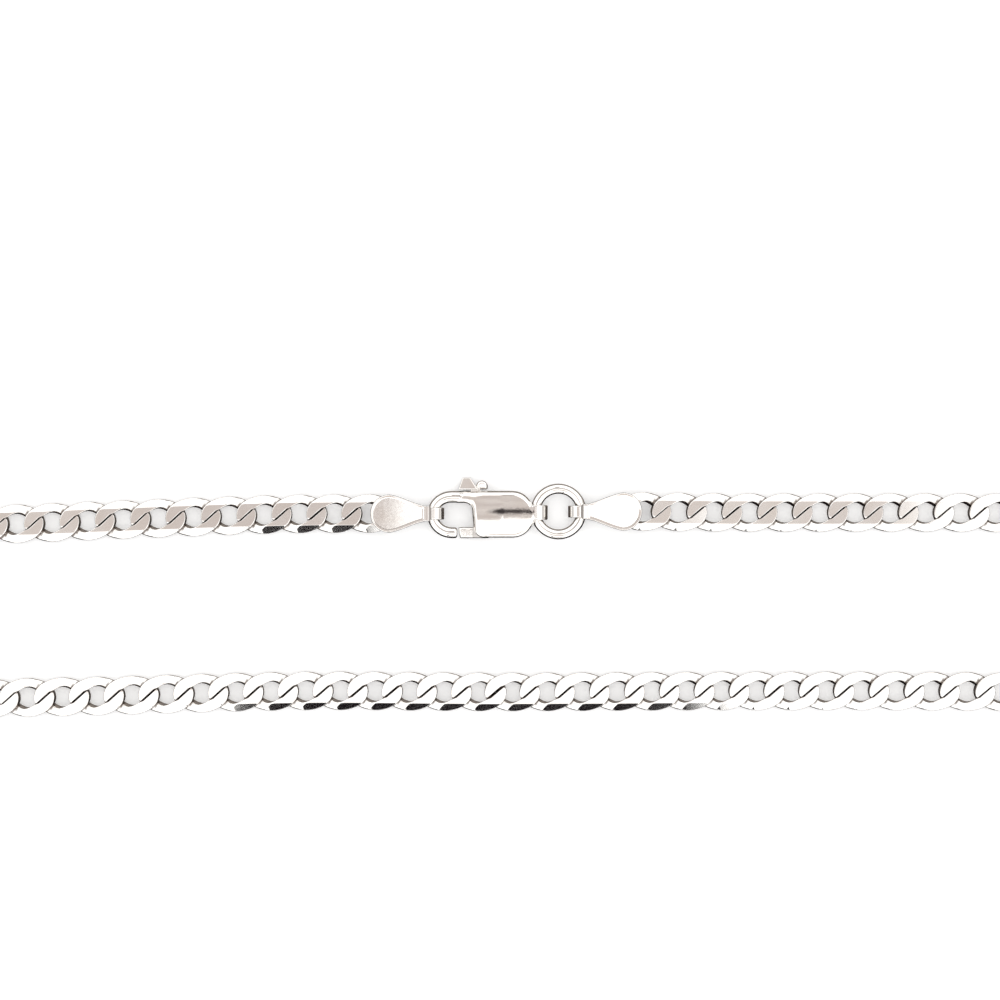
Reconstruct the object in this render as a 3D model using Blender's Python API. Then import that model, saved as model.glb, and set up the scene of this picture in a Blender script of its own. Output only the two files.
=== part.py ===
# Curb chain necklace lying flat as a closed loop, with its clasp closed.
# Metres, +Z up. X runs along the two strands, the origin is the middle of the loop
# on the surface that it lies on.

import math

import bmesh
import bpy
from mathutils import Matrix, Vector
from mathutils.bvhtree import BVHTree

# Chain
LINK_LENGTH = 0.00550       # outside, along the chain
LINK_WIDTH = 0.00384        # outside, across the chain
LINK_THICKNESS = 0.0014     # between the two filed flats
LINK_WIRE = 0.00098         # round wire before it is twisted and filed
LINK_TWIST = 0.000648       # how far the wire rises and falls on its way round
FLAT_WIDTH = 0.0024         # of the filed flat, across the chain
BEVEL_DROP = 0.0005         # how far the filed edges fall from the flat to the side
LINK_BITE = 0.00003         # how deep neighbours run into each other, so that they fuse
LINK_STATIONS = 10          # sections round a link
WIRE_CORNERS = (0, 60, 150, 210, 300)   # degrees round the wire, from its outer side
WIRE_FILL = 1.08            # corners stand out this much, so that five sides hold a round wire's metal

# Clearance between pieces that are not fused
PLAY = 0.0001

# Clasp
CLASP_LENGTH = 0.0120       # from the outside of the hook to the outside of the eye
CLASP_WIDTH = 0.0047
CLASP_HEIGHT = 0.0024
CLASP_ROUNDING = 0.00075
HOOK_WIRE = 0.00105
HOOK_DEPTH = 0.00245        # of the round end of the hook, along the chain
HOOK_LENGTH = 0.0040        # from the outside of the hook to the body
ROOT_LENGTH = 0.00095       # of the solid root that joins the hook to the body
ROOT_WIDTH = 0.0011
ROOT_OVERLAP = 0.0002       # of that root into the body, before the lever's slot
BODY_LEAN = 0.0008          # the body's end at the mouth leans back this much from root to gate
MOUTH_LENGTH = 0.0010       # from the tip of the hook to the body
MOUTH_GAP = 0.00012         # between the tip of the hook and the lever
EYE_WIDTH = 0.0015
EYE_SHIFT = 0.0002          # the eye lies this much further out than the clasp
CHANNEL_PLAY = 0.00012      # round the ring, where it runs through the eye
NOSE_WIDTH = 0.0018         # of the body's narrow end, at the eye
NOSE_LENGTH = 0.00166       # of the slanted shoulders beside it

# Lever
LEVER_THICKNESS = 0.0009
GATE_WIDTH = 0.00108
PIN_DIAMETER = 0.0007
BOSS_DIAMETER = 0.0017
PIN_INSET = 0.0010          # from the side of the body to the pin
PIN_REACH = 0.0029          # from the end of the gate to the pin
STEM_WIDTH = 0.00095
STEM_FOOT = 0.0014          # from the pin to where the stem grows out of the gate
NUB_WIDTH = 0.0019          # at its foot
NUB_TOP_WIDTH = 0.00065
NUB_LEAN = 0.0004           # of its edge on the hook's side
NUB_HEIGHT = 0.00120
NUB_THICKNESS = 0.0016
LOBE_RADIUS = 0.00055       # of the low round lobe behind the nub
LOBE_RISE = 0.0002          # of its middle above the foot of the nub
NUB_PLAY = 0.00015          # between the foot of the nub and the body
LEVER_SWING = 18            # degrees that the slot leaves room for

# Jump ring
RING_DIAMETER = 0.00555     # outside
RING_WIRE = 0.0010
RING_SLACK = 0.00020        # how far the ring sits away from the fold of its tag

# End tags
TAG_SHEET = 0.00032
TAG_LENGTH = 0.00733
TAG_WIDTH = 0.0038          # of the round end
TAG_NECK = 0.0016           # of the plate where it meets the strap
STRAP_WIDTH = 0.00117
STRAP_LENGTH = 0.00170      # from the fold to the plate
RISE_SETBACK = 0.00075      # from the inside of the last link to where the strap turns up through it
LINK_PAST_TAG = 0.00014     # from the end of the plate to the middle of the last link

# Where things lie
STRAND_Y = 0.0088           # middle of the clasp, from the middle of the loop
RING_SHIFT = 0.0003         # the ring lies this much further out than the clasp
CLASP_LEFT = -0.00765       # outside of the hook, from the middle of the loop
LOOP_REACH = 0.09637        # from the middle of the loop to the far ends of the chain's centre line
LEVEL_OUT = 0.0088          # the chain comes down from the tag's level within this length

# The chain's route, chosen points from the right tag round to the left tag: the place
# that a point is measured from (a tag's last link, an end of the loop or its middle),
# how far from it towards the rest of the strand, and across. From the middle, along is X.
ROUTE_POINTS = (
    ("right tag", 0.0100, 0.0090),
    ("right end", 0.0560, 0.0090),
    ("right end", 0.0440, 0.0090),
    ("right end", 0.0330, 0.0094),
    ("right end", 0.0230, 0.0101),
    ("right end", 0.0150, 0.01055),
    ("right end", 0.0080, 0.0095),
    ("right end", 0.0022, 0.0057),
    ("right end", 0.0000, 0.0000),
    ("right end", 0.0022, -0.0057),
    ("right end", 0.0080, -0.0095),
    ("right end", 0.0150, -0.01055),
    ("right end", 0.0230, -0.0102),
    ("right end", 0.0330, -0.0095),
    ("right end", 0.0460, -0.0089),
    ("middle", 0.0250, -0.0088),
    ("middle", 0.0, -0.0089),
    ("middle", -0.0200, -0.0088),
    ("left end", 0.0560, -0.0093),
    ("left end", 0.0460, -0.0095),
    ("left end", 0.0360, -0.0097),
    ("left end", 0.0255, -0.0104),
    ("left end", 0.0160, -0.01055),
    ("left end", 0.0085, -0.0097),
    ("left end", 0.0024, -0.0060),
    ("left end", 0.0000, -0.0005),
    ("left end", 0.0022, 0.0050),
    ("left end", 0.0080, 0.0087),
    ("left end", 0.0150, 0.0097),
    ("left end", 0.0240, 0.0091),
    ("left end", 0.0350, 0.0080),
    ("left end", 0.0460, 0.00785),
    ("left end", 0.0560, 0.0082),
    ("left tag", 0.0100, 0.0088),
)
ROUTE_STEPS = 24            # straight steps between two points of the smooth curve

# Sizes that follow
TAG_GAP = max(LINK_THICKNESS, HOOK_WIRE, RING_WIRE) + 2 * PLAY
TAG_HEIGHT = TAG_GAP + 2 * TAG_SHEET
AXIS_Z = max(CLASP_HEIGHT, TAG_HEIGHT) / 2
RING_RADIUS = (RING_DIAMETER - RING_WIRE) / 2
HOOK_X = CLASP_LEFT + HOOK_WIRE / 2
EYE_X = CLASP_LEFT + CLASP_LENGTH - CLASP_HEIGHT / 2
RING_X = EYE_X + RING_RADIUS
RING_Y = STRAND_Y + RING_SHIFT
BODY_LEFT = CLASP_LEFT + HOOK_LENGTH
ROOT_RIGHT = BODY_LEFT + ROOT_OVERLAP
HOOK_TIP_X = BODY_LEFT - MOUTH_LENGTH
PIN_X = HOOK_TIP_X + MOUTH_GAP + PIN_REACH
SLOT_GAP = LEVER_THICKNESS + 2 * PLAY
PIN_Y = STRAND_Y - CLASP_WIDTH / 2 + PIN_INSET
LAST_LINK = TAG_LENGTH + LINK_PAST_TAG      # from the fold of a tag to the middle of its link
STRAP_RISE = LAST_LINK - LINK_LENGTH / 2 + LINK_WIRE + RISE_SETBACK
NUB_FOOT = CLASP_WIDTH - PIN_INSET + NUB_PLAY   # across, from the pin
STEM_LEFT = ROOT_RIGHT + PLAY - PIN_X           # along, from the pin

# Facets of the round pieces
RING_SEGMENTS = 24
RING_SIDES = 6
CHANNEL_SIDES = 8
EYE_SIDES = 14
PIN_SIDES = 8
BEND_STEPS = 10

SILVER = (0.90, 0.885, 0.87)


def clear_scene():
    for old in list(bpy.data.objects):
        bpy.data.objects.remove(old, do_unlink=True)


def new_collection(name):
    group = bpy.data.collections.new(name)
    bpy.context.scene.collection.children.link(group)
    return group


def silver(name, roughness, tint=1.0):
    material = bpy.data.materials.new(name)
    material.use_nodes = True
    shader = material.node_tree.nodes["Principled BSDF"]
    shader.inputs["Base Color"].default_value = tuple(c * tint for c in SILVER) + (1.0,)
    shader.inputs["Metallic"].default_value = 1.0
    shader.inputs["Roughness"].default_value = roughness
    material.diffuse_color = tuple(c * tint for c in SILVER) + (1.0,)
    return material


def add_object(name, mesh, group, material=None):
    made = bpy.data.objects.new(name, mesh)
    group.objects.link(made)
    if material is not None:
        mesh.materials.clear()
        mesh.materials.append(material)
    return made


def cutter(name, mesh):
    made = add_object(name, mesh, cutters)
    made.hide_render = True
    made.display_type = "WIRE"
    return made


def boolean(target, tool, operation):
    modifier = target.modifiers.new(tool.name, "BOOLEAN")
    modifier.operation = operation
    modifier.object = tool
    modifier.solver = "EXACT"


def smooth_by_angle(mesh, degrees=35):
    mesh.shade_smooth()
    mesh.set_sharp_from_angle(angle=math.radians(degrees))


def mesh_from_bmesh(name, build):
    bmesh.ops.recalc_face_normals(build, faces=build.faces)
    mesh = bpy.data.meshes.new(name)
    build.to_mesh(mesh)
    build.free()
    return mesh


def plate_mesh(name, outline, low, high):
    """A flat outline in XY, filled and raised from low to high by a 2D curve."""
    data = bpy.data.curves.new(name, "CURVE")
    data.dimensions = "2D"
    data.fill_mode = "BOTH"
    data.extrude = (high - low) / 2
    line = data.splines.new("POLY")
    line.points.add(len(outline) - 1)
    for point, (x, y) in zip(line.points, outline):
        point.co = (x, y, 0, 1)
    line.use_cyclic_u = True
    return mesh_from_curve(name, data, Matrix.Translation((0, 0, (low + high) / 2)))


def wire_mesh(name, points, diameter, sides_step):
    """A round wire through the points, with 4 + 2 * sides_step sides."""
    data = bpy.data.curves.new(name, "CURVE")
    data.dimensions = "3D"
    data.bevel_depth = diameter / 2
    data.bevel_resolution = sides_step
    data.use_fill_caps = True
    line = data.splines.new("POLY")
    line.points.add(len(points) - 1)
    for point, place in zip(line.points, points):
        point.co = (*place, 1)
    return mesh_from_curve(name, data, Matrix.Identity(4))


def mesh_from_curve(name, data, place):
    """The curve's mesh with its caps welded; the curve itself is removed."""
    guide = bpy.data.objects.new(name + "_curve", data)
    bpy.context.scene.collection.objects.link(guide)
    evaluated = guide.evaluated_get(bpy.context.evaluated_depsgraph_get())
    mesh = bpy.data.meshes.new_from_object(evaluated)
    mesh.name = name
    bpy.data.objects.remove(guide, do_unlink=True)
    build = bmesh.new()
    build.from_mesh(mesh)
    bmesh.ops.remove_doubles(build, verts=build.verts, dist=1e-7)
    bmesh.ops.recalc_face_normals(build, faces=build.faces)
    build.to_mesh(mesh)
    build.free()
    mesh.transform(place)
    return mesh


def arc(centre, radius, start, end, steps):
    """Points on an arc, in degrees; radius is one number or one for X and one for Y."""
    along, across = radius if isinstance(radius, tuple) else (radius, radius)
    points = []
    for step in range(steps + 1):
        angle = math.radians(start + (end - start) * step / steps)
        points.append((centre[0] + along * math.cos(angle), centre[1] + across * math.sin(angle)))
    return points


# Curb links

def filed(point):
    """Bring a corner of the wire inside the flats and the bevelled edges."""
    side = LINK_WIDTH / 2
    flat = FLAT_WIDTH / 2
    point.y = max(-side, min(side, point.y))
    past_flat = max(0.0, abs(point.y) - flat) / (side - flat)
    limit = LINK_THICKNESS / 2 - BEVEL_DROP * past_flat
    point.z = max(-limit, min(limit, point.z))
    return point


def link_section(angle):
    """Corners of the wire where it passes this angle of the link's plan."""
    along = (LINK_LENGTH - LINK_WIRE) / 2
    across = (LINK_WIDTH - LINK_WIRE) / 2
    centre = Vector((along * math.cos(angle), across * math.sin(angle), -LINK_TWIST * math.sin(2 * angle)))
    outward = Vector((across * math.cos(angle), along * math.sin(angle), 0)).normalized()
    radius = LINK_WIRE / 2 * WIRE_FILL
    corners = []
    for corner in WIRE_CORNERS:
        turn = math.radians(corner)
        offset = outward * math.cos(turn) + Vector((0, 0, math.sin(turn)))
        corners.append(filed(centre + radius * offset))
    return corners


def link_bmesh():
    """One twisted and filed link: a closed loft through sections round its plan."""
    build = bmesh.new()
    rings = []
    for station in range(LINK_STATIONS):
        angle = 2 * math.pi * (station + 0.5) / LINK_STATIONS
        rings.append([build.verts.new(corner) for corner in link_section(angle)])
    for station, ring in enumerate(rings):
        following = rings[(station + 1) % LINK_STATIONS]
        for corner in range(len(ring)):
            beside = (corner + 1) % len(ring)
            build.faces.new((ring[corner], ring[beside], following[beside], following[corner]))
    bmesh.ops.recalc_face_normals(build, faces=build.faces)
    bmesh.ops.triangulate(build, faces=build.faces)
    return build


def touching_pitch():
    """Distance between two links pulled apart until they just touch inside each other."""
    first = link_bmesh()
    still = BVHTree.FromBMesh(first)
    step = LINK_WIRE / 200
    pitch = LINK_LENGTH - LINK_WIRE
    while pitch > LINK_LENGTH / 2:
        moved = link_bmesh()
        bmesh.ops.translate(moved, verts=moved.verts, vec=(pitch, 0, 0))
        touches = still.overlap(BVHTree.FromBMesh(moved))
        moved.free()
        if not touches:
            break
        pitch -= step
    first.free()
    return pitch


def smooth_curve(points):
    """Catmull-Rom curve through the points, as a dense line."""
    guides = [2 * points[0] - points[1], *points, 2 * points[-1] - points[-2]]
    line = []
    for index in range(1, len(guides) - 2):
        before, start, end, after = guides[index - 1:index + 3]
        for step in range(ROUTE_STEPS):
            t = step / ROUTE_STEPS
            line.append(0.5 * (2 * start + (end - before) * t
                               + (2 * before - 5 * start + 4 * end - after) * t * t
                               + (3 * start - before - 3 * end + after) * t ** 3))
    line.append(points[-1])
    return line


class Route:
    """The chain's centre line, measured along its length."""

    def __init__(self, points):
        self.line = smooth_curve(points)
        self.marks = [0.0]
        for start, end in zip(self.line, self.line[1:]):
            self.marks.append(self.marks[-1] + (end - start).length)
        self.length = self.marks[-1]

    def at(self, distance):
        distance = max(0.0, min(self.length, distance))
        for index in range(1, len(self.marks)):
            if self.marks[index] >= distance:
                break
        before = self.marks[index - 1]
        share = (distance - before) / (self.marks[index] - before)
        return self.line[index - 1].lerp(self.line[index], share)

    def height(self, distance):
        """Level of the links: up at the tags' level at both ends, else on the surface."""
        rise = AXIS_Z - LINK_THICKNESS / 2
        from_end = min(distance, self.length - distance)
        share = max(0.0, 1 - from_end / LEVEL_OUT)
        return LINK_THICKNESS / 2 + rise * share * share * (3 - 2 * share)

    def frame(self, distance):
        """Place and turn of a link whose middle is at this distance."""
        start = max(0.0, distance - LINK_LENGTH / 2)
        end = min(self.length, distance + LINK_LENGTH / 2)
        heading = self.at(end) - self.at(start)
        low, high = self.height(start), self.height(end)
        along = Vector((heading.x, heading.y, high - low)).normalized()
        across = Vector((-along.y, along.x, 0)).normalized()
        up = along.cross(across)
        turn = Matrix((along, across, up)).transposed().to_4x4()
        middle = self.at(distance)
        return Matrix.Translation((middle.x, middle.y, (low + high) / 2)) @ turn


def run_of_links(name, route, distances):
    """A run of links: every other link is one mesh, and the two meshes are fused."""
    link = bpy.data.meshes.new("curb_link")
    source = link_bmesh()
    source.to_mesh(link)
    source.free()
    halves = []
    for parity in (0, 1):
        build = bmesh.new()
        for distance in distances[parity::2]:
            placed = link.copy()
            placed.transform(route.frame(distance))
            build.from_mesh(placed)
            bpy.data.meshes.remove(placed)
        halves.append(mesh_from_bmesh(name, build))
    bpy.data.meshes.remove(link)
    run = add_object(name, halves[0], parts, silver(name + "_silver", 0.12))
    boolean(run, cutter(name + "_other_links", halves[1]), "UNION")


def build_chain(right_end, left_end):
    """Two runs of links that hook into each other at the middle of the lower strand."""
    starts = {
        "right tag": (right_end.x, 1),
        "right end": (LOOP_REACH, -1),
        "middle": (0, 1),
        "left end": (-LOOP_REACH, 1),
        "left tag": (left_end.x, -1),
    }
    points = [right_end]
    for place, along, across in ROUTE_POINTS:
        start, direction = starts[place]
        points.append(Vector((start + direction * along, across)))
    points.append(left_end)
    route = Route(points)
    touching = touching_pitch()
    slack = LINK_BITE + PLAY    # given up where the two runs only hook into each other
    gaps = round((route.length + slack) / (touching + LINK_BITE))
    pitch = (route.length + slack) / gaps
    first_gaps = gaps // 2
    right = [index * pitch for index in range(first_gaps + 1)]
    left = [index * pitch - slack for index in range(first_gaps + 1, gaps + 1)]
    print("chain:", gaps + 1, "links, pitch", round(pitch, 7), "m, centre line", round(route.length, 5), "m")
    run_of_links("chain_right", route, right)
    run_of_links("chain_left", route, left)


# End tags

def half_width(distance):
    """Half the plate's width at a distance from the fold: a neck that flares to the round end."""
    start = STRAP_LENGTH
    end = TAG_LENGTH - TAG_WIDTH / 2
    share = (distance - start) / (end - start)
    flare = share * share * (3 - 2 * share)
    return TAG_NECK / 2 + (TAG_WIDTH - TAG_NECK) / 2 * (0.45 * share + 0.55 * flare)


def plate_outline():
    """The tag's teardrop plate, from the strap to the round end, fold at x = 0."""
    end = TAG_LENGTH - TAG_WIDTH / 2
    steps = 6
    stops = [STRAP_LENGTH + (end - STRAP_LENGTH) * step / steps for step in range(steps)]
    upper = [(stop, half_width(stop)) for stop in stops]
    lower = [(x, -y) for x, y in upper]
    return lower + arc((end, 0), TAG_WIDTH / 2, -90, 90, 12) + list(reversed(upper))


def strap_outline():
    """Side view of the strap: along the top, round the fold, back below and up again."""
    outer = TAG_HEIGHT / 2
    inner = TAG_GAP / 2
    top_end = STRAP_LENGTH + TAG_SHEET
    rise_near = STRAP_RISE - TAG_SHEET / 2
    rise_far = STRAP_RISE + TAG_SHEET / 2
    outside = [(top_end, outer)] + arc((outer, 0), outer, 90, 270, 8) + [(rise_far, -outer)]
    inside = [(rise_near, -inner)] + arc((outer, 0), inner, 270, 90, 8) + [(top_end, inner)]
    return outside + [(rise_far, inner + TAG_SHEET / 2), (rise_near, inner + TAG_SHEET / 2)] + inside


def build_tag(name, fold_x, y, direction):
    """One tag; direction is +1 where its plate points to the right."""
    plate = plate_mesh(name, plate_outline(), TAG_GAP / 2, TAG_HEIGHT / 2)
    strap = plate_mesh(name + "_strap", strap_outline(), -STRAP_WIDTH / 2, STRAP_WIDTH / 2)
    strap.transform(Matrix.Rotation(math.radians(90), 4, "X"))
    place = Matrix.Translation((fold_x, y, AXIS_Z))
    if direction < 0:
        place = place @ Matrix.Rotation(math.pi, 4, "Z")
    plate.transform(place)
    strap.transform(place)
    tag = add_object(name, plate, parts, silver(name + "_silver", 0.16, 0.98))
    boolean(tag, cutter(name + "_strap", strap), "UNION")
    smooth_by_angle(tag.data)
    return Vector((fold_x + direction * LAST_LINK, y))


# Clasp

def body_mesh():
    """The body: a flat outline with its two rims rounded over."""
    top = CLASP_WIDTH / 2
    root = BODY_LEFT - ROOT_LENGTH
    outline = [
        (root, top),
        (EYE_X - NOSE_LENGTH, top),
        (EYE_X, NOSE_WIDTH / 2),
        (EYE_X, -NOSE_WIDTH / 2),
        (EYE_X - NOSE_LENGTH, -top),
        (BODY_LEFT + BODY_LEAN, -top),
        (BODY_LEFT, top - ROOT_WIDTH),
        (root, top - ROOT_WIDTH),
    ]
    build = bmesh.new()
    low = -CLASP_HEIGHT / 2
    corners = [build.verts.new((x, STRAND_Y + y, AXIS_Z + low)) for x, y in outline]
    floor = build.faces.new(corners)
    raised = bmesh.ops.extrude_face_region(build, geom=[floor])["geom"]
    lid = [item for item in raised if isinstance(item, bmesh.types.BMVert)]
    bmesh.ops.translate(build, verts=lid, vec=(0, 0, CLASP_HEIGHT))
    bmesh.ops.recalc_face_normals(build, faces=build.faces)
    rims = [edge for edge in build.edges if abs(edge.verts[0].co.z - edge.verts[1].co.z) < 1e-6]
    bmesh.ops.bevel(build, geom=rims, offset=CLASP_ROUNDING, segments=3, profile=0.5,
                    affect="EDGES", clamp_overlap=True)
    return mesh_from_bmesh("clasp_body", build)


def hook_points():
    """Centre line of the hook, from inside the body round to its tip at the mouth."""
    across = (CLASP_WIDTH - HOOK_WIRE) / 2
    centre_x = CLASP_LEFT + HOOK_DEPTH
    bend = arc((centre_x, STRAND_Y), (centre_x - HOOK_X, across), 90, 270, BEND_STEPS)
    line = [(BODY_LEFT, STRAND_Y + across), *bend, (HOOK_TIP_X, STRAND_Y - across)]
    return [(x, y, AXIS_Z) for x, y in line]


def ring_torus(name, wire, sides):
    bpy.ops.mesh.primitive_torus_add(
        location=(0, 0, 0), major_radius=RING_RADIUS, minor_radius=wire / 2,
        major_segments=RING_SEGMENTS, minor_segments=sides)
    made = bpy.context.object
    mesh = made.data.copy()
    mesh.name = name
    bpy.data.objects.remove(made, do_unlink=True)
    mesh.transform(Matrix.Translation((RING_X, RING_Y, AXIS_Z)))
    return mesh


def cylinder_mesh(name, diameter, length, sides, place):
    build = bmesh.new()
    bmesh.ops.create_cone(build, cap_ends=True, segments=sides, radius1=diameter / 2,
                          radius2=diameter / 2, depth=length, matrix=place)
    return mesh_from_bmesh(name, build)


def slot_outline():
    """The space inside the body where the lever turns, open to the mouth and to the thumb side."""
    past = CLASP_WIDTH / 2 + HOOK_WIRE
    swing = math.radians(LEVER_SWING)
    swung = (STEM_LEFT + STEM_WIDTH) * math.cos(swing) + NUB_FOOT * math.sin(swing)
    right = PIN_X + max(BOSS_DIAMETER / 2, swung) + 3 * PLAY
    left = BODY_LEFT - 3 * PLAY
    under_root = STRAND_Y + CLASP_WIDTH / 2 - ROOT_WIDTH - 3 * PLAY
    return [
        (left, STRAND_Y - past),
        (right, STRAND_Y - past),
        (right, STRAND_Y + past),
        (ROOT_RIGHT, STRAND_Y + past),
        (ROOT_RIGHT, under_root),
        (left, under_root),
    ]


def build_clasp_body():
    body = add_object("clasp_body", body_mesh(), parts, silver("clasp_body_silver", 0.10))
    hook = wire_mesh("clasp_hook", hook_points(), HOOK_WIRE, 2)
    eye_place = Matrix.Translation((EYE_X, STRAND_Y + EYE_SHIFT, AXIS_Z))
    eye_place = eye_place @ Matrix.Rotation(math.radians(90), 4, "X")
    eye = cylinder_mesh("clasp_eye", CLASP_HEIGHT, EYE_WIDTH, EYE_SIDES, eye_place)
    slot = plate_mesh("lever_slot", slot_outline(), AXIS_Z - SLOT_GAP / 2, AXIS_Z + SLOT_GAP / 2)
    pin_length = (CLASP_HEIGHT + SLOT_GAP) / 2
    pin_place = Matrix.Translation((PIN_X, PIN_Y, AXIS_Z))
    pin = cylinder_mesh("lever_pin", PIN_DIAMETER, pin_length, PIN_SIDES, pin_place)
    channel = ring_torus("ring_channel", RING_WIRE + 2 * CHANNEL_PLAY, CHANNEL_SIDES)
    boolean(body, cutter("clasp_eye", eye), "UNION")
    boolean(body, cutter("lever_slot", slot), "DIFFERENCE")
    boolean(body, cutter("clasp_hook", hook), "UNION")
    boolean(body, cutter("lever_pin", pin), "UNION")
    boolean(body, cutter("ring_channel", channel), "DIFFERENCE")
    smooth_by_angle(body.data)


def lever_outline():
    """Gate, boss, stem and the foot of the nub, in the lever's own frame with the pin at 0, 0."""
    gate_low = -PIN_INSET
    gate_high = gate_low + GATE_WIDTH
    steps = (gate_high, gate_low / 4, gate_low / 2, gate_low)
    tip = [(-math.sqrt(PIN_REACH ** 2 - y * y), y) for y in steps]
    boss = arc((0, 0), BOSS_DIAMETER / 2, -90, 30, 5)
    stem = [(STEM_LEFT + STEM_WIDTH, NUB_FOOT), (STEM_LEFT, NUB_FOOT)]
    return tip + boss + stem + [(-STEM_FOOT, gate_high)]


def nub_outline():
    """Thumb nub, level with the end of the gate on the hook's side."""
    left = -PIN_REACH
    top = NUB_FOOT + NUB_HEIGHT
    top_left = left + NUB_LEAN
    return [(left, NUB_FOOT), (left + NUB_WIDTH, NUB_FOOT), (top_left + NUB_TOP_WIDTH, top), (top_left, top)]


def build_lever():
    """The sprung lever; its origin is on the pin, so it turns about its own Z axis."""
    half = LEVER_THICKNESS / 2
    lever = add_object("clasp_lever", plate_mesh("clasp_lever", lever_outline(), -half, half), parts,
                       silver("clasp_lever_silver", 0.14, 0.97))
    nub = plate_mesh("thumb_nub", nub_outline(), -NUB_THICKNESS / 2, NUB_THICKNESS / 2)
    lobe_x = -PIN_REACH + NUB_WIDTH + LOBE_RADIUS / 2
    lobe_outline = arc((lobe_x, NUB_FOOT + LOBE_RISE), LOBE_RADIUS, -20, 200, 8)
    lobe = plate_mesh("thumb_lobe", lobe_outline, -half, half)
    hole = cylinder_mesh("pin_hole", PIN_DIAMETER + 2 * PLAY, 2 * LEVER_THICKNESS, PIN_SIDES,
                         Matrix.Identity(4))
    place = Vector((PIN_X, PIN_Y, AXIS_Z))
    lever.location = place
    for name, mesh, operation in (("thumb_nub", nub, "UNION"), ("thumb_lobe", lobe, "UNION"),
                                  ("pin_hole", hole, "DIFFERENCE")):
        tool = cutter(name, mesh)
        tool.location = place
        boolean(lever, tool, operation)
    smooth_by_angle(lever.data)


def build_jump_ring():
    mesh = ring_torus("jump_ring", RING_WIRE, RING_SIDES)
    add_object("jump_ring", mesh, parts, silver("jump_ring_silver", 0.10))
    mesh.shade_smooth()


clear_scene()
parts = new_collection("curb_chain_necklace")
cutters = new_collection("cutters")

build_clasp_body()
build_lever()
build_jump_ring()
left_fold = HOOK_X + TAG_HEIGHT / 2 + PLAY / 2
right_fold = RING_X + RING_RADIUS - TAG_HEIGHT / 2 - RING_SLACK
left_end = build_tag("tag_left", left_fold, STRAND_Y + PLAY, -1)
right_end = build_tag("tag_right", right_fold, RING_Y, 1)
build_chain(right_end, left_end)

necklace = bpy.data.objects.new("necklace", None)
parts.objects.link(necklace)
for piece in parts.objects:
    if piece.type == "MESH":
        piece.parent = necklace
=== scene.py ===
# Silver dressing for the curb chain necklace: fine filed links, lobster clasp, jump ring
# and end tags, lying on a pale floor under a soft light tent. Metres, +Z up; shapes are
# worked out in millimetres and scaled at the end.

import math
import random

import bpy
import numpy as np
from mathutils import Matrix, Vector
from mathutils.bvhtree import BVHTree


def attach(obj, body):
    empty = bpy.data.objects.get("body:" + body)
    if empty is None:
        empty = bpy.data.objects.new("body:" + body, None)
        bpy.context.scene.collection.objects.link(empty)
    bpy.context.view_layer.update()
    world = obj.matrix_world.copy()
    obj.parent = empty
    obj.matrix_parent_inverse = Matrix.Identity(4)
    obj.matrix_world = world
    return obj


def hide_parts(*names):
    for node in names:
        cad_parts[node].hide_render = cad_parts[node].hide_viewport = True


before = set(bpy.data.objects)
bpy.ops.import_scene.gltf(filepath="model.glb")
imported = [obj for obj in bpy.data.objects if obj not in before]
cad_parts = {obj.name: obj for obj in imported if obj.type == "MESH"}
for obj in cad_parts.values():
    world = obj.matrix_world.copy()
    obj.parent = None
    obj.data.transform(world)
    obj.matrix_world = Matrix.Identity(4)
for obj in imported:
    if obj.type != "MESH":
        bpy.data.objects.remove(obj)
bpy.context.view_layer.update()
mm = 0.001
print("frame loaded:", len(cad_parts), "nodes")


# Shader helpers

class Signal:                      # one socket, so that shader maths reads as an expression
    def __init__(self, shader, socket):
        self.shader = shader
        self.socket = socket

    def maths(self, operation, first, second=0.0):
        return self.shader.node("ShaderNodeMath", {"operation": operation}, {0: first, 1: second})

    def __add__(self, other):
        return self.maths("ADD", self, other)

    def __radd__(self, other):
        return self.maths("ADD", other, self)

    def __sub__(self, other):
        return self.maths("SUBTRACT", self, other)

    def __rsub__(self, other):
        return self.maths("SUBTRACT", other, self)

    def __mul__(self, other):
        return self.maths("MULTIPLY", self, other)

    def __rmul__(self, other):
        return self.maths("MULTIPLY", other, self)

    def below(self, other):
        return self.maths("MINIMUM", self, other)

    def above(self, other):
        return self.maths("MAXIMUM", self, other)

    def size(self):
        return self.maths("ABSOLUTE", self)

    def step(self, low, high):     # 0 below low, 1 above high, smooth between; low may be the larger
        return self.shader.node(
            "ShaderNodeMapRange", {"interpolation_type": "SMOOTHSTEP"},
            {"Value": self, "From Min": low, "From Max": high})

    def between(self, low, high, soft):            # 1 from low to high
        return self.step(low - soft, low + soft) * self.step(high + soft, high - soft)


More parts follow.
